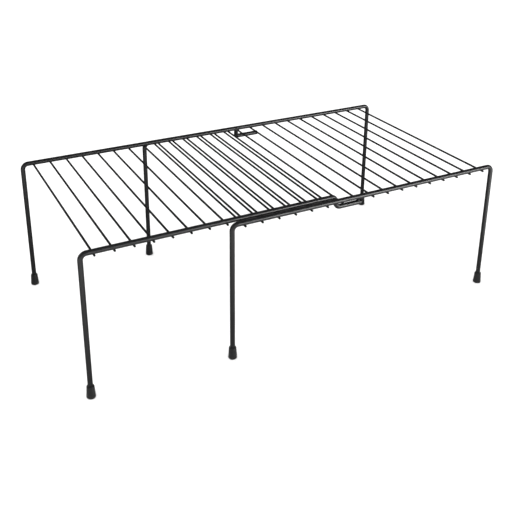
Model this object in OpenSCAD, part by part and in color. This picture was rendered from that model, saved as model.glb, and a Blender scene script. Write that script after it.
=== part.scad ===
// Extending wire shelf riser.
//
// Two welded wire units make one long shelf. The base unit has a front and a
// rear wire, each bent into leg, rail and leg, joined by crosswires welded
// under the rails. The extension unit has the same wires with a leg at one end
// only. Its rails lie just inside the base's rails and its crosswires lie on
// top of the base's. The free end of each extension rail drops between two of
// the base's crosswires and runs on beneath the next two, as a hook that keeps
// the units together. Every leg stands in a push-on foot cap.
//
// Frame: +X runs along the shelf from the extension to the base, +Y from the
// front to the rear and +Z up. The origin is on the floor, midway between the
// outermost legs and midway between front and rear.

/* [Frame wire] */
// Diameter of the wire that makes the legs and rails
rail_d = 5.5; // [4.5:0.1:6]
// Height of the base's rails above the floor, to the wire's centre
rail_height = 161; // [120:1:240]
// Distance between the base's front and rear rails, centre to centre
rail_spread = 258; // [180:1:320]
// Radius of the corner between leg and rail, to the wire's centre
corner_r = 6.5; // [6:0.5:12]

/* [Crosswires] */
// Diameter of a crosswire
cross_d = 2.2; // [1.8:0.1:2.4]
// Distance from one crosswire to the next, on both units
cross_pitch = 20; // [19:0.5:24]
// Distance from the base's left leg to its first crosswire
base_first = 14.5; // [14:0.5:18]
// Distance from the base's last crosswire to its right leg
base_last = 14.5; // [14:0.5:18]
// Distance from the extension's leg to its first crosswire
extension_first = 13.5; // [13.5:0.5:18]
// How far the crosswires stand out past the rails
cross_overhang = 0; // [0:0.1:0.5]
// How deep a crosswire is sunk into a rail by its weld
weld_depth = 0.5; // [0.3:0.05:0.6]

/* [Fit between the units] */
// Number of base crosswires that the extension overlaps
overlap_wires = 6; // [4:1:12]
// How far an extension crosswire stands past the base crosswire beside it
cross_stagger = 3; // [2.4:0.1:3.4]
// Gap between a base rail and the extension rail inside it
rail_gap = 1.2; // [1:0.1:3]
// Height of the extension's crosswires above the base's
slide_gap = 0.3; // [0.3:0.05:0.8]

/* [Hooks] */
// Distance from the extension's last crosswire to the drop of the hook
hook_drop_x = 11.5; // [10.5:0.1:11.8]
// Distance from the extension's last crosswire to the tip of the hook
hook_reach = 44.5; // [30:0.5:60]
// Gap between the base's crosswires and the hook beneath them
hook_gap = 2; // [0.5:0.1:4]
// How far the hook leans out towards the base's rail
hook_lean = 2.2; // [2.2:0.6:2.8]
// Radius of the hook's two bends, to the wire's centre
hook_r = 4.75; // [4.5:0.05:4.8]

/* [Foot caps] */
// Height of a cap
cap_height = 14; // [11:0.5:18]
// Diameter at the top of the taper
cap_top_d = 8.2; // [7.6:0.1:8.6]
// Diameter at the bottom of the taper
cap_base_d = 9.8; // [8.6:0.1:10]
// Thickness of the floor under the leg
cap_floor = 3; // [2:0.5:4]
// Radius of the rounded shoulder
cap_shoulder_r = 1; // [0.6:0.1:1]
// Radius of the rounded lower edge
cap_edge_r = 1.4; // [0.8:0.1:1.8]

/* [Hidden] */
$fn = 48;
ARC_STEPS = 6;
BASE_WIRES = 17;
EXTENSION_WIRES = 14;
WIRE_COLOUR = [0.07, 0.07, 0.075];
CAP_COLOUR = [0.12, 0.12, 0.125];
FRONT = -1;
REAR = 1;

// Lengths along X
base_length = base_first + (BASE_WIRES - 1) * cross_pitch + base_last;
last_wire_x = base_first + (overlap_wires - 1) * cross_pitch + cross_stagger;
extension_leg_x = last_wire_x - (EXTENSION_WIRES - 1) * cross_pitch - extension_first;
overall_length = base_length - extension_leg_x;
base_left = overall_length / 2 - base_length;
base_right = overall_length / 2;
extension_left = -overall_length / 2;

// Places across Y
base_rail_y = rail_spread / 2;
extension_rail_y = base_rail_y - rail_d - rail_gap;
base_cross_half = base_rail_y + rail_d / 2 + cross_overhang;
extension_cross_half = extension_rail_y + rail_d / 2 + cross_overhang;

// Heights
cross_drop = (rail_d + cross_d) / 2 - weld_depth;
unit_step = cross_d + slide_gap;
extension_rail_z = rail_height + unit_step;
base_cross_z = rail_height - cross_drop;
extension_cross_z = extension_rail_z - cross_drop;
hook_z = base_cross_z - cross_d / 2 - hook_gap - rail_d / 2;

// The hook's drop, measured along its lean
hook_fall = extension_rail_z - hook_z;
hook_angle = atan2(hook_lean, hook_fall);
hook_straight = norm([hook_lean, hook_fall]) - 2 * hook_r;

function two_digits(i) = str(i < 10 ? "0" : "", i);
function base_cross_name(i) = str("base_cross_wire_", two_digits(i));
function extension_cross_name(i) = str("extension_cross_wire_", two_digits(i));

// A straight length of frame wire along +Z. Its children start at its far end.
module straight(length) {
    cylinder(d = rail_d, h = length);
    translate([0, 0, length]) children();
}

// A bend of the frame wire from +Z towards +X. Roll first turns the bend
// round the wire. Its children start at its far end.
module bend(radius, angle, roll = 0) {
    rotate([0, 0, roll]) {
        translate([radius, 0, 0])
            mirror([1, 0, 0])
                rotate([90, 0, 0])
                    rotate_extrude(angle = angle)
                        translate([radius, 0])
                            circle(d = rail_d);
        translate([radius, 0, 0])
            rotate([0, angle, 0])
                translate([-radius, 0, 0])
                    children();
    }
}

// The base's leg, rail and leg: one wire with two corners.
module base_wire(side) {
    leg = rail_height - corner_r - cap_floor;
    color(WIRE_COLOUR)
        translate([base_left, side * base_rail_y, cap_floor])
            straight(leg)
                bend(corner_r, 90)
                    straight(base_length - 2 * corner_r)
                        bend(corner_r, 90)
                            straight(leg);
}

// The extension's leg, rail and hook: one wire with a corner and two hook bends.
module extension_wire(side) {
    leg = extension_rail_z - corner_r - cap_floor;
    drop_x = base_left + last_wire_x + hook_drop_x;
    rail = drop_x - hook_r - (extension_left + corner_r);
    color(WIRE_COLOUR)
        translate([extension_left, side * extension_rail_y, cap_floor])
            straight(leg)
                bend(corner_r, 90)
                    straight(rail)
                        bend(hook_r, 90, roll = side * hook_angle)
                            straight(hook_straight)
                                bend(hook_r, 90, roll = 180)
                                    straight(hook_reach - hook_drop_x - hook_r);
}

// A crosswire along Y, centred at x and z.
module cross_wire(x, z, half_length) {
    color(WIRE_COLOUR)
        translate([x, 0, z])
            rotate([90, 0, 0])
                cylinder(d = cross_d, h = 2 * half_length, center = true);
}

module base_cross_wire(i) {
    cross_wire(base_left + base_first + (i - 1) * cross_pitch, base_cross_z, base_cross_half);
}

module extension_cross_wire(i) {
    x = extension_left + extension_first + (i - 1) * cross_pitch;
    cross_wire(x, extension_cross_z, extension_cross_half);
}

// Points on an arc in the profile, from one angle to another.
function arc(centre, radius, from, to) = [
    for (i = [0:ARC_STEPS])
        let (a = from + (to - from) * i / ARC_STEPS)
            centre + radius * [cos(a), sin(a)]
];

// A push-on cap: a tapered cup with a rounded shoulder and lower edge, and a
// blind bore that holds the leg's end.
module foot_cap(x, y) {
    top_r = cap_top_d / 2;
    base_r = cap_base_d / 2;
    bore_r = rail_d / 2;
    color(CAP_COLOUR)
        translate([x, y, 0])
            rotate_extrude()
                polygon(concat(
                    [[0, 0]],
                    arc([base_r - cap_edge_r, cap_edge_r], cap_edge_r, -90, 0),
                    arc([top_r - cap_shoulder_r, cap_height - cap_shoulder_r], cap_shoulder_r, 0, 90),
                    [[bore_r, cap_height], [bore_r, cap_floor], [0, cap_floor]]
                ));
}

module base_foot(x, side) {
    foot_cap(x, side * base_rail_y);
}

module extension_foot(side) {
    foot_cap(extension_left, side * extension_rail_y);
}

base_wire(FRONT);  // base_front_wire
base_wire(REAR);  // base_rear_wire
for (i = [1:BASE_WIRES])
    base_cross_wire(i);
base_foot(base_left, FRONT);  // base_foot_left_front
base_foot(base_left, REAR);  // base_foot_left_rear
base_foot(base_right, FRONT);  // base_foot_right_front
base_foot(base_right, REAR);  // base_foot_right_rear
extension_wire(FRONT);  // extension_front_wire
extension_wire(REAR);  // extension_rear_wire
for (i = [1:EXTENSION_WIRES])
    extension_cross_wire(i);
extension_foot(FRONT);  // extension_foot_front
extension_foot(REAR);  // extension_foot_rear
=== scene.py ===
# %% [markdown]
# # An extending wire shelf riser
# This lesson dresses a finished CAD model. The real thing is two grids of
# steel wire, welded, dipped in black powder and baked, that nest to make one
# long shelf. The CAD model already has every wire and cap in its true place.
# What is left is what the eye reads as "made": rounded cut ends, the small
# saddles of metal at each weld, moulded caps, and a coat that is not quite
# smooth. All lengths are in metres.

# %% Load the frame
import math

import bmesh
import bpy
from mathutils import Matrix, Vector


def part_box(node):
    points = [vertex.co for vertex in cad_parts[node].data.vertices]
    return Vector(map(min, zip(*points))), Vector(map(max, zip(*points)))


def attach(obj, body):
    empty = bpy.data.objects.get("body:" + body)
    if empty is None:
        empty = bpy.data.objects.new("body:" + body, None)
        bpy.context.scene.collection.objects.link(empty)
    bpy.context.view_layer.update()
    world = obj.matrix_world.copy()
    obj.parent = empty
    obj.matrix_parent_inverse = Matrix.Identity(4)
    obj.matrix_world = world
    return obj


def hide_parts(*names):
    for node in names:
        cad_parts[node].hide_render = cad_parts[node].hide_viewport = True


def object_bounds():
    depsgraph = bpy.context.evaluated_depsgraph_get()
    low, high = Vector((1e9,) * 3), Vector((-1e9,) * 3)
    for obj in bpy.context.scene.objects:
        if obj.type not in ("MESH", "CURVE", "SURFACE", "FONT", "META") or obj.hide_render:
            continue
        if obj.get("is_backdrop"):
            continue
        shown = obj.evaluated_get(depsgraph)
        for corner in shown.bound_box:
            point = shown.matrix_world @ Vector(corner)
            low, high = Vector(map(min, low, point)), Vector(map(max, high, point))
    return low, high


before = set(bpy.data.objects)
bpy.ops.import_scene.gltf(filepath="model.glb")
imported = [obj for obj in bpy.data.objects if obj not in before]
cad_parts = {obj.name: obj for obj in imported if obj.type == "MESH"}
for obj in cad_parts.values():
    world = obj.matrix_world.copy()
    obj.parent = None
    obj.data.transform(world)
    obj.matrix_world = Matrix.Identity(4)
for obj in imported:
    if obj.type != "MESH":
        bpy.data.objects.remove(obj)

cad_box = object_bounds()
MM = 0.001
print("CAD box in mm:", [round(v / MM, 1) for v in cad_box[1] - cad_box[0]])

# %% [markdown]
# ## Reading sizes from the frame
# A maker would put a calliper on the wires. A frame wire's thickness is its
# box's depth where it runs straight, a crosswire's is its box's height, and a
# cap's box gives its height and its widest diameter. Sizes read this way
# follow the CAD model if it ever changes. Only what no box shows, such as the
# radii of the bends and the place of the hooks, is written down. A
# coat of powder is about 0.1 mm thick. On a thin wire that shows, so it is
# added there.

# %% Read the wire sizes and the main heights
def box_of(node):
    low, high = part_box(node)
    return low, high, (low + high) / 2


base_low, base_high, _ = box_of("base_front_wire")
frame_r = (base_high.y - base_low.y) / 2
cross_low, cross_high, cross_mid = box_of("base_cross_wire_01")
cross_r = (cross_high.z - cross_low.z) / 2
coat = 0.1 * MM
thin_r = cross_r + coat
corner_r = 6.5 * MM
hook_r = 4.75 * MM
print("frame wire", round(2 * frame_r / MM, 2), "mm, crosswire", round(2 * cross_r / MM, 2), "mm")

# %% [markdown]
# ## Bending wire with a turtle
# On a wire former the stock is fed forward and bent, over and over. A turtle
# does the same: it stands at the wire's end, looks along it, and takes two
# orders, `feed` and `bend`. It leaves behind one cross-section frame (a
# centre and two directions across the wire) at every place where the shape
# needs one. A Bezier curve with a round bevel would be quicker, but its bends
# are not true arcs, and the hooks here turn in a leaning plane.

# %% A turtle that feeds and bends wire
BEND_STEPS = 14
FEED_STEP = 20 * MM


class WireTurtle:
    """Stands at the wire's end, facing along `forward`; `side` is the way a bend goes."""

    def __init__(self, start, forward, side):
        self.at = Vector(start)
        self.forward = Vector(forward)
        self.side = Vector(side)
        self.sections = [self.section()]

    def section(self):
        return self.at.copy(), self.side.copy(), self.forward.cross(self.side)

    def feed(self, length):
        steps = max(1, round(length / FEED_STEP))
        for _ in range(steps):
            self.at += self.forward * (length / steps)
            self.sections.append(self.section())
        return self

    def roll(self, angle):
        self.side = Matrix.Rotation(angle, 3, self.forward) @ self.side
        return self

    def bend(self, radius, angle=math.pi / 2, steps=BEND_STEPS):
        axis = self.forward.cross(self.side)
        centre = self.at + self.side * radius
        turn = Matrix.Rotation(angle / steps, 3, axis)
        for _ in range(steps):
            self.at = centre + turn @ (self.at - centre)
            self.forward = turn @ self.forward
            self.side = turn @ self.side
            self.sections.append(self.section())
        return self


print("bends are drawn in steps of", round(90 / BEND_STEPS, 1), "degrees")

# %% [markdown]
# ## From cross-sections to a skin
# Each section becomes a ring of points, and neighbouring rings are joined by
# quads. A wire is cut by a shear and then coated, so its ends are never sharp:
# the last rings shrink along a quarter circle, which leaves a flat face with
# a soft rim. The ends are closed, so each wire is a watertight solid.

# %% Skin a wire and round its ends
RIM_STEPS = 4


def ring(bm, centre, across, upward, radius, sides):
    points = []
    for i in range(sides):
        a = 2 * math.pi * i / sides
        points.append(bm.verts.new(centre + radius * (math.cos(a) * across + math.sin(a) * upward)))
    return points


def join_rings(bm, first, second):
    n = len(first)
    for i in range(n):
        bm.faces.new((first[i], first[(i + 1) % n], second[(i + 1) % n], second[i]))


def rim_radii(radius, rim):
    """Distance from the end face and radius of each ring round a softened end."""
    turns = [math.pi / 2 * k / RIM_STEPS for k in range(RIM_STEPS + 1)]
    return [(rim * (1 - math.sin(t)), radius - rim * (1 - math.cos(t))) for t in reversed(turns)]


def skin_wire(bm, sections, radius, sides, rim):
    first, last = sections[0], sections[-1]
    into_first = (sections[1][0] - first[0]).normalized()
    into_last = (sections[-2][0] - last[0]).normalized()
    rings = []
    for depth, r in rim_radii(radius, rim):
        rings.append(ring(bm, first[0] + into_first * depth, first[1], first[2], r, sides))
    for centre, across, upward in sections[1:-1]:
        rings.append(ring(bm, centre, across, upward, radius, sides))
    for depth, r in reversed(rim_radii(radius, rim)):
        rings.append(ring(bm, last[0] + into_last * depth, last[1], last[2], r, sides))
    for k in range(len(rings) - 1):
        join_rings(bm, rings[k], rings[k + 1])
    bm.faces.new(list(reversed(rings[0])))
    bm.faces.new(rings[-1])


def finish_mesh(bm, name):
    """Turn a bmesh into a smooth-shaded object at the origin, normals outward."""
    bmesh.ops.recalc_face_normals(bm, faces=bm.faces)
    mesh = bpy.data.meshes.new(name)
    bm.to_mesh(mesh)
    bm.free()
    mesh.shade_smooth()
    piece = bpy.data.objects.new(name, mesh)
    bpy.context.scene.collection.objects.link(piece)
    return piece


print("each softened rim has", RIM_STEPS + 1, "rings")

# %% [markdown]
# ## The four frame wires
# Each unit has a front and a rear frame wire. The base's is fed up as a leg,
# bent, fed along as the rail, bent again and fed down. The extension's has
# one leg: its rail ends in a hook that drops between two of the base's
# crosswires and runs on under the next two. The hook's bends lie in a plane
# that leans outwards, which the turtle's `roll` sets. The CAD wires have the
# same route. They are drawn again here to give the cut ends their soft rims
# and to mark where the hooks rub.

# %% Bend the frame wires
FRAME_SIDES = 28
TIP_RIM = 0.9 * MM
hook_gap = 2 * MM
hook_drop = 11.5 * MM
hook_z = cross_low.z - hook_gap - frame_r
UP, RIGHT = Vector((0, 0, 1)), Vector((1, 0, 0))


def base_frame_route(node):
    low, high, mid = box_of(node)
    leg = high.z - frame_r - corner_r - low.z
    rail = (high.x - low.x) - 2 * (frame_r + corner_r)
    turtle = WireTurtle((low.x + frame_r, mid.y, low.z), UP, RIGHT)
    turtle.feed(leg).bend(corner_r).feed(rail).bend(corner_r).feed(leg)
    return turtle


def extension_frame_route(node, toward_rear):
    low, high, _ = box_of(node)
    _, _, last_cross = box_of("extension_cross_wire_14")
    lean = (high.y - low.y) - 2 * frame_r
    rail_y = low.y + frame_r if toward_rear else high.y - frame_r
    rail_z = high.z - frame_r
    fall = rail_z - hook_z
    angle = math.atan2(lean, fall) * (1 if toward_rear else -1)
    drop_x = last_cross.x + hook_drop
    leg_x = low.x + frame_r
    turtle = WireTurtle((leg_x, rail_y, low.z), UP, RIGHT)
    turtle.feed(rail_z - corner_r - low.z).bend(corner_r)
    turtle.feed(drop_x - hook_r - (leg_x + corner_r))
    turtle.roll(angle).bend(hook_r).feed(math.hypot(lean, fall) - 2 * hook_r)
    turtle.roll(math.pi).bend(hook_r).feed(high.x - drop_x - hook_r)
    return turtle


def make_frame_wire(node, turtle):
    bm = bmesh.new()
    skin_wire(bm, turtle.sections, frame_r, FRAME_SIDES, TIP_RIM)
    return finish_mesh(bm, node + "_coated")


frame_wires = {}
for node in ("base_front_wire", "base_rear_wire"):
    frame_wires[node] = make_frame_wire(node, base_frame_route(node))
for node, rear in (("extension_front_wire", False), ("extension_rear_wire", True)):
    frame_wires[node] = make_frame_wire(node, extension_frame_route(node, rear))
for node, piece in frame_wires.items():
    print(piece.name, len(piece.data.polygons), "faces")

# %% [markdown]
# ## A weld saddle
# A crosswire is welded by squeezing it against the rail and passing a current
# through the touch point. The metal sinks a little and swells out round the
# contact, and the powder fills what gap is left, so the two wires meet in a
# small saddle. A boolean and a bevel would give ragged faces here. It is
# neater to build the saddle from rings: each ring starts as an oval on the
# rail's underside, pinches in at the waist, and ends as an oval on top of the
# crosswire. Every point is placed by the two circles that the wires are.

# %% Build one weld saddle
SADDLE_SIDES = 28
SADDLE_STEPS = 5
TUCK = 0.04 * MM
RAIL_TOE = Vector((1.65 * MM, 2.0 * MM))
CROSS_TOE = Vector((0.85 * thin_r, 2.35 * MM))
WAIST = 0.8


def rail_underside(v):
    return -math.sqrt(max(frame_r ** 2 - v ** 2, 0))


def cross_top(u, drop):
    return -drop + math.sqrt(max(thin_r ** 2 - u ** 2, 0))


def saddle_point(angle, t, drop):
    """A point on the saddle: t runs from 0 on the rail to 1 on the crosswire."""
    c, s = math.cos(angle), math.sin(angle)
    on_rail = Vector((RAIL_TOE.x * c, RAIL_TOE.y * s))
    on_cross = Vector((CROSS_TOE.x * c, CROSS_TOE.y * s))
    start = Vector((*on_rail, rail_underside(on_rail.y) + TUCK))
    end = Vector((*on_cross, cross_top(on_cross.x, drop) - TUCK))
    waist = (on_rail + on_cross) / 2 * WAIST
    middle = Vector((*waist, (rail_underside(waist.y) + cross_top(waist.x, drop)) / 2))
    return start * (1 - t) ** 2 + middle * 2 * t * (1 - t) + end * t ** 2


def add_saddle(bm, centre, drop):
    """`centre` is the rail's centre over the weld, `drop` the distance down to the crosswire's."""
    rings = []
    for k in range(SADDLE_STEPS + 1):
        t = k / SADDLE_STEPS
        points = []
        for i in range(SADDLE_SIDES):
            angle = -2 * math.pi * i / SADDLE_SIDES
            points.append(bm.verts.new(centre + saddle_point(angle, t, drop)))
        rings.append(points)
    for k in range(SADDLE_STEPS):
        join_rings(bm, rings[k], rings[k + 1])
    for points, height in ((rings[0], -frame_r + 4 * TUCK), (rings[-1], -drop)):
        hub = bm.verts.new(centre + Vector((0, 0, height)))
        for i in range(SADDLE_SIDES):
            bm.faces.new((points[i], points[(i + 1) % SADDLE_SIDES], hub))


print("a saddle is", round(2 * RAIL_TOE.x / MM, 1), "by", round(2 * CROSS_TOE.y / MM, 1), "mm")

# %% [markdown]
# ## Thirty-one crosswires
# Each crosswire is one short feed of thin wire with a saddle at each end,
# where it crosses a rail. The ends lie flush with the rails' outer sides, as
# they do when the welded grid is trimmed. One function makes them all, and
# reads from the frame where the rails are that each one crosses.

# %% Make the crosswires with their welds
CROSS_SIDES = 18
CROSS_RIM = 0.4 * MM


def rail_centre_y(node):
    """The rail's distance from the middle line; an extension wire's box also holds its hook."""
    low, high, _ = box_of(node)
    return low.y + frame_r


def make_cross_wire(node, rear_rail_node):
    low, high, mid = box_of(node)
    rail_y = rail_centre_y(rear_rail_node)
    rail_z = box_of(rear_rail_node)[1].z - frame_r
    bm = bmesh.new()
    turtle = WireTurtle((mid.x, low.y, mid.z), Vector((0, 1, 0)), RIGHT)
    turtle.feed(high.y - low.y)
    skin_wire(bm, turtle.sections, thin_r, CROSS_SIDES, CROSS_RIM)
    for y in (-rail_y, rail_y):
        add_saddle(bm, Vector((mid.x, y, rail_z)), rail_z - mid.z)
    return finish_mesh(bm, node + "_coated")


cross_wires = {}
for node in sorted(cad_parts):
    if "_cross_wire_" in node:
        unit = node.split("_")[0]
        cross_wires[node] = make_cross_wire(node, unit + "_rear_wire")
print(len(cross_wires), "crosswires made")

# %% [markdown]
# ## The foot caps
# A cap is moulded in soft vinyl and pushed on. Its shape is a lathe profile:
# a flat tread with a shallow dish inside it, a rounded lower edge, a taper, a
# rounded shoulder, and a mouth whose lip rolls inwards to grip the wire. The
# two halves of the mould leave a faint line down each side. A spin modifier
# would make the body, but a hand-made lathe lets each ring swell at the two
# seams.

# %% Turn the caps
CAP_SIDES = 96
cap_top_r = 4.1 * MM
tread_dish = 0.35 * MM
seam_height = 0.05 * MM
seam_width = 0.02


def quarter(centre_r, centre_z, radius, start, end, steps=6):
    for k in range(steps + 1):
        a = math.radians(start + (end - start) * k / steps)
        yield centre_r + radius * math.cos(a), centre_z + radius * math.sin(a)


def cap_profile(height, base_r):
    edge, shoulder, lip = 1.4 * MM, 1.0 * MM, 0.35 * MM
    bore = frame_r + 0.02 * MM
    tread = base_r - edge
    points = [(0.9 * MM, tread_dish), (tread - 0.9 * MM, tread_dish), (tread - 0.45 * MM, 0.0)]
    points += quarter(tread, edge, edge, -90, 0)
    points += quarter(cap_top_r - shoulder, height - shoulder, shoulder, 0, 75)
    points += quarter(bore + lip, height - lip - 0.08 * MM, lip, 90, 180)
    points += [(bore, height - 4 * MM)]
    return points


def seam_swell(angle):
    """1 on the mould's parting line, which lies front and rear, and 0 away from it."""
    return math.exp(-(math.cos(angle) / (seam_width * math.pi)) ** 2)


def make_cap(node):
    low, high, mid = box_of(node)
    profile = cap_profile(high.z - low.z, (high.x - low.x) / 2 - seam_height)
    bm = bmesh.new()
    rings = []
    for r, z in profile:
        points = []
        for i in range(CAP_SIDES):
            a = 2 * math.pi * i / CAP_SIDES
            reach = r + seam_height * seam_swell(a) * (1 if z > tread_dish and r > cap_top_r else 0)
            x = mid.x + reach * math.cos(a)
            y = mid.y + reach * math.sin(a)
            points.append(bm.verts.new((x, y, low.z + z)))
        rings.append(points)
    for k in range(len(rings) - 1):
        join_rings(bm, rings[k], rings[k + 1])
    bm.faces.new(list(reversed(rings[0])))
    bm.faces.new(rings[-1])
    return finish_mesh(bm, node + "_moulded")


caps = {node: make_cap(node) for node in sorted(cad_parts) if "_foot_" in node}
print(len(caps), "caps,", len(next(iter(caps.values())).data.polygons), "faces each")

# %% [markdown]
# ## Hang every piece on its body
# The base stays put and the extension slides, so each piece rides on one of
# these two bodies. Every CAD node has one piece here that stands for it.

# %% Ride and replace
def hang(piece, node):
    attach(piece, node.split("_")[0])
    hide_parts(node)


for node, piece in {**frame_wires, **cross_wires}.items():
    hang(piece, node)
for node, piece in caps.items():
    hang(piece, node)
print(len(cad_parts), "nodes,", len(frame_wires) + len(cross_wires) + len(caps), "pieces")

# %% [markdown]
# ## Where the coat is rubbed and where it pools
# Two things change the coat from place to place. It is rubbed smooth on the
# hooks, which scrape along the base's crosswires, and it pools thick and
# glossy round the welds. A mask painted by hand would do, but both places
# follow from the geometry, so each vertex gets a number from 0 to 1 in a
# named attribute that the material reads.

# %% Mark the rubbed hooks and the pooled welds
def mark(piece, name, amount):
    layer = piece.data.attributes.new(name, "FLOAT", "POINT")
    for i, vertex in enumerate(piece.data.vertices):
        layer.data[i].value = amount(vertex.co)


def smooth_step(x, low, high):
    t = min(max((x - low) / (high - low), 0), 1)
    return t * t * (3 - 2 * t)


drop_x = box_of("extension_cross_wire_14")[2].x + hook_drop


def hook_rub(co):
    along = smooth_step(co.x, drop_x, drop_x + 3 * hook_r)
    on_top = smooth_step(co.z, hook_z, hook_z + frame_r)
    return along * on_top if co.z < cross_mid.z else 0


def unrubbed(co):
    return 0.0


def weld_pool(co, rail_y):
    from_weld = abs(abs(co.y) - rail_y)
    return 1 - smooth_step(from_weld, 2 * MM, 6 * MM)


for node, piece in frame_wires.items():
    mark(piece, "rubbed", hook_rub if node.startswith("extension") else unrubbed)
for node, piece in cross_wires.items():
    rail_y = rail_centre_y(node.split("_")[0] + "_rear_wire")
    mark(piece, "pooled", lambda co, rail_y=rail_y: weld_pool(co, rail_y))
print("hooks drop at x =", round(drop_x / MM, 1), "mm")

# %% [markdown]
# ## Helpers for node trees
# A material is a small graph. These helpers add a node, set its plain
# sockets by name and wire its inputs in one call, so that each material
# below reads as a list of what feeds what.

# %% Add nodes and new materials
def add(tree, kind, inputs=None, **settings):
    """Add a node; `inputs` maps a socket's name or number to a value or to another node's output."""
    node = tree.nodes.new(kind)
    for key, value in settings.items():
        setattr(node, key, value)
    for key, value in (inputs or {}).items():
        if isinstance(value, bpy.types.NodeSocket):
            tree.links.new(value, node.inputs[key])
        else:
            node.inputs[key].default_value = value
    return node


def new_group(name, inputs, outputs):
    """A shader node group with float inputs {name: default} and float outputs."""
    tree = bpy.data.node_groups.new(name, "ShaderNodeTree")
    for socket, default in inputs.items():
        made = tree.interface.new_socket(socket, in_out="INPUT", socket_type="NodeSocketFloat")
        made.default_value = default
    for socket in outputs:
        tree.interface.new_socket(socket, in_out="OUTPUT", socket_type="NodeSocketFloat")
    return tree, tree.nodes.new("NodeGroupInput"), tree.nodes.new("NodeGroupOutput")


def place_group(tree, group, values):
    node = tree.nodes.new("ShaderNodeGroup")
    node.node_tree = group
    for key, value in values.items():
        node.inputs[key].default_value = value
    return node


def mix_values(tree, factor, first, second):
    node = add(tree, "ShaderNodeMix", {0: factor, 2: first, 3: second}, data_type="FLOAT")
    return node.outputs[0]


def mix_colours(tree, factor, first, second):
    node = add(tree, "ShaderNodeMix", {0: factor, 6: first, 7: second}, data_type="RGBA")
    return node.outputs[2]


def new_material(name):
    material = bpy.data.materials.new(name)
    material.use_nodes = True
    tree = material.node_tree
    return material, tree, tree.nodes["Principled BSDF"]


def black(level):
    """A near-black with the faint cool cast of carbon pigment."""
    return (level, level, level * 1.06, 1)


print("node helpers ready")

# %% [markdown]
# ## The skin of the coat
# Powder paint melts and flows in the oven, but not quite flat. It leaves a
# soft ripple like orange peel, a fraction of a millimetre from crest to
# crest, and a few pinhead specks. The same skin is on thick and thin wire at
# different scales, and a finer one is on the caps where the mould was sand
# blasted. So it is one node group, with the ripple's size as an input. It
# gives a height for the bump, and a slow mottle that shifts the gloss.

# %% Build the skin group
def build_skin_group():
    tree, into, out = new_group(
        "melted_skin",
        {"Ripple per metre": 1500.0, "Speck per metre": 600.0, "Speck Share": 0.15},
        ("Height", "Mottle"),
    )
    place = tree.nodes.new("ShaderNodeTexCoord").outputs["Object"]
    ripple = add(tree, "ShaderNodeTexNoise", {
        "Vector": place, "Scale": into.outputs["Ripple per metre"], "Detail": 2.0, "Roughness": 0.45})
    speck = add(tree, "ShaderNodeTexVoronoi", {
        "Vector": place, "Scale": into.outputs["Speck per metre"]})
    speck_dome = add(tree, "ShaderNodeMapRange", {
        "Value": speck.outputs["Distance"], "From Min": 0.0, "From Max": 0.22,
        "To Min": 1.0, "To Max": 0.0}, interpolation_type="SMOOTHSTEP")
    raised = add(tree, "ShaderNodeMath", {
        0: speck_dome.outputs["Result"], 1: into.outputs["Speck Share"]}, operation="MULTIPLY")
    height = add(tree, "ShaderNodeMath", {
        0: ripple.outputs["Fac"], 1: raised.outputs[0]}, operation="ADD")
    mottle = add(tree, "ShaderNodeTexNoise", {"Vector": place, "Scale": 90.0, "Detail": 3.0})
    tree.links.new(height.outputs[0], out.inputs["Height"])
    tree.links.new(mottle.outputs["Fac"], out.inputs["Mottle"])
    return tree


melted_skin = build_skin_group()
print("skin group:", [s.name for s in melted_skin.interface.items_tree])

# %% [markdown]
# ## Handling marks
# Even a new shelf has been stacked and boxed. Where it was touched the coat
# is a little smoother or a little duller, in soft patches with a few fine
# scuffs. One group makes this mask for the wires and the caps. Its `Amount`
# says how much of the surface is marked, and each material decides what a
# mark does to it.

# %% Build the handling group
def build_handling_group():
    tree, into, out = new_group("handling", {"Amount": 0.3, "Patch per metre": 35.0}, ("Mask",))
    place = tree.nodes.new("ShaderNodeTexCoord").outputs["Object"]
    patch = add(tree, "ShaderNodeTexNoise", {
        "Vector": place, "Scale": into.outputs["Patch per metre"], "Detail": 4.0, "Roughness": 0.6})
    scuff = add(tree, "ShaderNodeTexNoise", {
        "Vector": place, "Scale": 700.0, "Detail": 1.0, "Distortion": 1.5})
    both = add(tree, "ShaderNodeMath", {
        0: patch.outputs["Fac"], 1: scuff.outputs["Fac"]}, operation="MULTIPLY")
    edge = add(tree, "ShaderNodeMath", {0: 0.55, 1: into.outputs["Amount"]}, operation="SUBTRACT")
    top = add(tree, "ShaderNodeMath", {0: edge.outputs[0], 1: 0.25}, operation="ADD")
    mask = add(tree, "ShaderNodeMapRange", {
        "Value": both.outputs[0], "From Min": edge.outputs[0], "From Max": top.outputs[0]},
        interpolation_type="SMOOTHSTEP")
    tree.links.new(mask.outputs["Result"], out.inputs["Mask"])
    return tree


handling = build_handling_group()
print("handling group:", [s.name for s in handling.interface.items_tree])

# %% [markdown]
# ## Coated wire, thick and thin
# The coat is black polyester, semi-gloss, with no metal showing. Nearly all
# that the eye sees of it is reflection, so its base colour is very dark and
# the roughness does the work. The thick wire and the thin wire share the
# recipe. They differ in the ripple's size and the strength of the shine, since
# the coat draws tighter and flatter on a thin wire, and in which attribute
# marks the special places: rubbed hooks on the thick wire, pooled welds on
# the thin.

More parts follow.
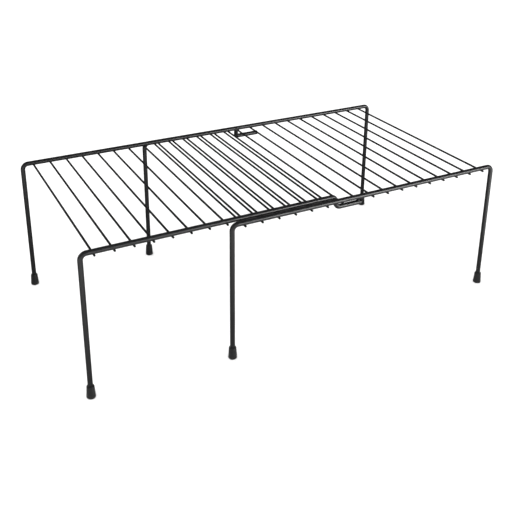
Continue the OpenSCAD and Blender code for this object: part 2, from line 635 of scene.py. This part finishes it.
# %% Make the two coated-wire materials
def coated_wire(name, ripple, bump_height, shine, attribute, marked_roughness):
    material, tree, shader = new_material(name)
    shader.inputs["Specular IOR Level"].default_value = shine
    skin = place_group(tree, melted_skin, {"Ripple per metre": ripple})
    marks = place_group(tree, handling, {"Amount": 0.3})
    special = add(tree, "ShaderNodeAttribute", attribute_name=attribute)
    colour = mix_colours(tree, skin.outputs["Mottle"], black(0.0065), black(0.0125))
    gloss = add(tree, "ShaderNodeMapRange", {
        "Value": skin.outputs["Mottle"], "To Min": 0.25, "To Max": 0.35})
    scuffed = add(tree, "ShaderNodeMath", {
        0: marks.outputs["Mask"], 1: 0.10, 2: gloss.outputs["Result"]}, operation="MULTIPLY_ADD")
    rough = mix_values(tree, special.outputs["Fac"], scuffed.outputs[0], marked_roughness)
    bump = add(tree, "ShaderNodeBump", {
        "Strength": 0.6, "Distance": bump_height, "Height": skin.outputs["Height"]})
    tree.links.new(colour, shader.inputs["Base Color"])
    tree.links.new(rough, shader.inputs["Roughness"])
    tree.links.new(bump.outputs["Normal"], shader.inputs["Normal"])
    return material


thick_coat = coated_wire("coated_frame_wire", 1300.0, 0.05 * MM, 0.5, "rubbed", 0.2)
thin_coat = coated_wire("coated_cross_wire", 2200.0, 0.03 * MM, 0.25, "pooled", 0.22)
for piece in frame_wires.values():
    piece.data.materials.append(thick_coat)
for piece in cross_wires.values():
    piece.data.materials.append(thin_coat)
print("materials:", thick_coat.name, thin_coat.name)

# %% [markdown]
# ## Moulded caps
# Soft vinyl is greyer and duller than the coated wire: its surface copies a
# blasted mould, so it scatters light evenly. It has a fine grain, no ripple,
# and picks up dust and floor polish on its tread and lower edge. The same
# two groups make it, with a finer skin and more marks.

# %% Make the cap material
def moulded_vinyl():
    material, tree, shader = new_material("moulded_vinyl")
    shader.inputs["Sheen Weight"].default_value = 0.1
    shader.inputs["Sheen Roughness"].default_value = 0.4
    skin = place_group(tree, melted_skin, {
        "Ripple per metre": 4200.0, "Speck per metre": 1500.0, "Speck Share": 0.3})
    marks = place_group(tree, handling, {"Amount": 0.36, "Patch per metre": 120.0})
    place = tree.nodes.new("ShaderNodeTexCoord").outputs["Object"]
    height = add(tree, "ShaderNodeSeparateXYZ", {"Vector": place}).outputs["Z"]
    low_down = add(tree, "ShaderNodeMapRange", {
        "Value": height, "From Min": 0.3 * MM, "From Max": 4 * MM, "To Min": 1.0, "To Max": 0.0})
    dusty = add(tree, "ShaderNodeMath", {
        0: low_down.outputs["Result"], 1: marks.outputs["Mask"]}, operation="MULTIPLY")
    clean = mix_colours(tree, skin.outputs["Mottle"], black(0.008), black(0.013))
    colour = mix_colours(tree, dusty.outputs[0], clean, (0.05, 0.048, 0.045, 1))
    rough = add(tree, "ShaderNodeMapRange", {
        "Value": marks.outputs["Mask"], "To Min": 0.36, "To Max": 0.5})
    bump = add(tree, "ShaderNodeBump", {
        "Strength": 0.5, "Distance": 0.03 * MM, "Height": skin.outputs["Height"]})
    tree.links.new(colour, shader.inputs["Base Color"])
    tree.links.new(rough.outputs["Result"], shader.inputs["Roughness"])
    tree.links.new(bump.outputs["Normal"], shader.inputs["Normal"])
    return material


vinyl = moulded_vinyl()
for piece in caps.values():
    piece.data.materials.append(vinyl)
print("material:", vinyl.name)

# %% [markdown]
# ## Floor
# The shelf stands on white paper that runs on to a white horizon. One big
# disc does it, and the camera sees it as plain white. What the gloss of the
# wires picks up from it is another matter, which a studio sets with black
# cards and a lamp. Here shade and light are painted into the paper's colour
# for reflected rays only: painted shade makes the paper dim close to the
# shelf and dark behind it, further out in front it is bright, and a painted
# pool of light glows at the right. Cards and a lamp would show from some
# sides, so the paper has two looks: a plain one, and one for reflected rays
# only.

# %% Lay the floor
FLOOR_RADIUS = 12.0
PAPER_WHITE = 0.96
# Painted shade for reflected rays: the paper's colour near the shelf, further out, and on the dark side
# behind it.
NEAR_PAPER, NEAR_REACH = 0.28, 0.2
FAR_PAPER, FAR_REACH = 0.9, 0.5
DARK_SIDE = 0.1
FRONT_EDGE, REAR_EDGE = -0.2, 0.15
# Painted light: a pool where the paper glows for reflected rays, though no lamp is there.
POOL_CENTRE, POOL_RADIUS, POOL_LIGHT = (0.32, -0.5, 0.0), 0.3, 3.0


def paper_painted_shade(tree, place):
    """Painted shade: how bright the paper looks to a reflection, by its distance and side of the shelf.
    """
    halved = add(tree, "ShaderNodeVectorMath", {0: place, 1: (0.5, 1.0, 0.0)}, operation="MULTIPLY")
    away = add(tree, "ShaderNodeVectorMath", {0: halved.outputs[0]}, operation="LENGTH")
    spread = add(tree, "ShaderNodeMapRange", {
        "Value": away.outputs["Value"], "From Min": NEAR_REACH, "From Max": FAR_REACH,
        "To Min": NEAR_PAPER, "To Max": FAR_PAPER})
    parts = add(tree, "ShaderNodeSeparateXYZ", {"Vector": place})
    front_lit = add(tree, "ShaderNodeMapRange", {
        "Value": parts.outputs["Y"], "From Min": FRONT_EDGE, "From Max": REAR_EDGE,
        "To Min": 1.0, "To Max": DARK_SIDE})
    return add(tree, "ShaderNodeMath", {
        0: spread.outputs["Result"], 1: front_lit.outputs["Result"]}, operation="MULTIPLY").outputs[0]


# Painted light: the paper glows in a round pool for reflected rays.
def painted_light_pool(tree, place):
    from_pool = add(tree, "ShaderNodeVectorMath", {0: place, 1: POOL_CENTRE}, operation="DISTANCE")
    return add(tree, "ShaderNodeMapRange", {
        "Value": from_pool.outputs["Value"], "From Min": 0.0, "From Max": POOL_RADIUS,
        "To Min": POOL_LIGHT, "To Max": 0.0}, interpolation_type="SMOOTHSTEP").outputs["Result"]


def white_paper():
    material, tree, shader = new_material("white_paper")
    shader.inputs["Roughness"].default_value = 0.9
    shader.inputs["Specular IOR Level"].default_value = 0.0
    shader.inputs["Emission Color"].default_value = (1, 1, 1, 1)
    place = tree.nodes.new("ShaderNodeTexCoord").outputs["Object"]
    glossy = tree.nodes.new("ShaderNodeLightPath").outputs["Is Glossy Ray"]
    # Painted shade: reflected rays see the paper's colour dimmed near and behind the shelf.
    level = mix_values(tree, glossy, PAPER_WHITE, paper_painted_shade(tree, place))
    # Painted light: the paper glows in the pool for reflected rays only.
    glow = add(tree, "ShaderNodeMath", {0: glossy, 1: painted_light_pool(tree, place)}, operation="MULTIPLY")
    tree.links.new(level, shader.inputs["Base Color"])
    tree.links.new(glow.outputs[0], shader.inputs["Emission Strength"])
    return material


def lay_floor():
    bm = bmesh.new()
    bmesh.ops.create_circle(bm, cap_ends=True, segments=96, radius=FLOOR_RADIUS)
    floor = finish_mesh(bm, "floor")
    floor.data.materials.append(white_paper())
    floor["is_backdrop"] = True
    return floor


floor = lay_floor()
print(floor.name, "radius", FLOOR_RADIUS, "m")

# %% [markdown]
# ## Studio light
# Black gloss has almost no colour of its own, so a studio lights what it
# reflects. The set is dark, apart from a glow low down in front. One softbox
# at the front right draws a bright line on the rails where they face it, and
# a weaker one high on the left catches the outsides of the bends. The world
# does this: matt surfaces and the camera see plain white, and glossy
# reflections see the set. Real softboxes would do too, but the camera would
# see them from some sides. A soft panel overhead helps to lift the floor to
# white.

# %% Light the studio
WHITE_LIGHT = 1.32
GLOW_LIGHT, GLOW_TOP = 0.8, 0.1
CEILING_LIGHT, CEILING_EDGE = 0.06, 0.5
SIDE_BLEND = 0.3
SOFTBOXES = (
    (Vector((0.56, -0.82, 0.1)).normalized(), 0.955, 20.0),
    (Vector((-0.65, 0.5, 0.57)).normalized(), 0.95, 3.0),
)


def studio_world():
    world = bpy.data.worlds.new("studio")
    world.use_nodes = True
    tree = world.node_tree
    tree.nodes.clear()
    way = tree.nodes.new("ShaderNodeTexCoord").outputs["Generated"]
    parts = add(tree, "ShaderNodeSeparateXYZ", {"Vector": way})
    glow = add(tree, "ShaderNodeMapRange", {
        "Value": parts.outputs["Z"], "From Min": GLOW_TOP, "From Max": CEILING_EDGE,
        "To Min": GLOW_LIGHT, "To Max": CEILING_LIGHT}, interpolation_type="SMOOTHSTEP")
    front_lit = add(tree, "ShaderNodeMapRange", {
        "Value": parts.outputs["Y"], "From Min": -SIDE_BLEND, "From Max": SIDE_BLEND,
        "To Min": 1.0, "To Max": DARK_SIDE})
    reflected = add(tree, "ShaderNodeMath", {
        0: glow.outputs["Result"], 1: front_lit.outputs["Result"]}, operation="MULTIPLY").outputs[0]
    for toward, edge, light in SOFTBOXES:
        facing = add(tree, "ShaderNodeVectorMath", {0: way, 1: toward}, operation="DOT_PRODUCT")
        box = add(tree, "ShaderNodeMapRange", {
            "Value": facing.outputs["Value"], "From Min": edge, "From Max": 1.0,
            "To Min": 0.0, "To Max": light}, interpolation_type="SMOOTHSTEP")
        both = add(tree, "ShaderNodeMath", {0: reflected, 1: box.outputs["Result"]}, operation="ADD")
        reflected = both.outputs[0]
    glossy = tree.nodes.new("ShaderNodeLightPath").outputs["Is Glossy Ray"]
    level = mix_values(tree, glossy, WHITE_LIGHT, reflected)
    back = add(tree, "ShaderNodeBackground", {"Strength": level})
    out = tree.nodes.new("ShaderNodeOutputWorld")
    tree.links.new(back.outputs[0], out.inputs["Surface"])
    bpy.context.scene.world = world


def soft_panel(name, place, size, power):
    light = bpy.data.lights.new(name, "AREA")
    light.shape, light.size, light.energy = "DISK", size, power
    panel = bpy.data.objects.new(name, light)
    panel.location = place
    panel.rotation_euler = (-Vector(place)).to_track_quat("-Z", "Y").to_euler()
    panel.visible_glossy = False
    panel.visible_camera = False
    bpy.context.scene.collection.objects.link(panel)


studio_world()
soft_panel("overhead_panel", place=(-0.7, -0.9, 2.4), size=2.2, power=30.0)
bpy.context.scene.view_settings.view_transform = "Standard"
print("lit by", len(SOFTBOXES), "softboxes, a glow and one panel")

# %% [markdown]
# ## Camera
# The camera stands at the front left and looks down on the shelf. A product
# shot keeps the legs upright by lowering the film instead of the lens, which
# is what a small vertical shift does. Its place is given from the middle of
# the CAD model's box, so that it follows the model.

# %% Set the camera
CAMERA_TURN = math.radians(27.82)
CAMERA_DOWN = math.radians(21.11)
CAMERA_ROLL = math.radians(0.47)
CAMERA_SHIFT = -0.22
CAMERA_LENS = 55.27
CAMERA_FROM_MIDDLE = (-0.4101, -0.7739)
CAMERA_HEIGHT = 0.5276


def set_camera(place):
    turn, down = CAMERA_TURN, CAMERA_DOWN
    ahead = Vector((math.sin(turn) * math.cos(down), math.cos(turn) * math.cos(down), -math.sin(down)))
    right = Vector((math.cos(turn), -math.sin(turn), 0))
    level = Matrix((right, right.cross(ahead), -ahead)).transposed()
    camera = bpy.data.objects.new("camera", bpy.data.cameras.new("camera"))
    camera.data.lens = CAMERA_LENS
    camera.data.sensor_width = 36.0
    camera.data.shift_y = CAMERA_SHIFT
    camera.location = place
    camera.rotation_euler = (level @ Matrix.Rotation(CAMERA_ROLL, 3, "Z")).to_euler()
    bpy.context.scene.collection.objects.link(camera)
    bpy.context.scene.camera = camera
    return camera


middle = (cad_box[0] + cad_box[1]) / 2
east, north = CAMERA_FROM_MIDDLE
camera = set_camera((middle.x + east, middle.y + north, cad_box[0].z + CAMERA_HEIGHT))
print("camera is", round((camera.location - middle).length, 2), "m from the shelf's middle")

# %% [markdown]
# ## Compare the two boxes and finish
# The dressed model is meant to fill the same box as the CAD model. The
# script prints how far each corner of the two boxes differs.

# %% Compare the boxes and finish
visual_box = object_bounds()
for low_or_high in (0, 1):
    off = (visual_box[low_or_high] - cad_box[low_or_high]) / MM
    print("box corner", low_or_high, "differs by", [round(v, 2) for v in off], "mm")
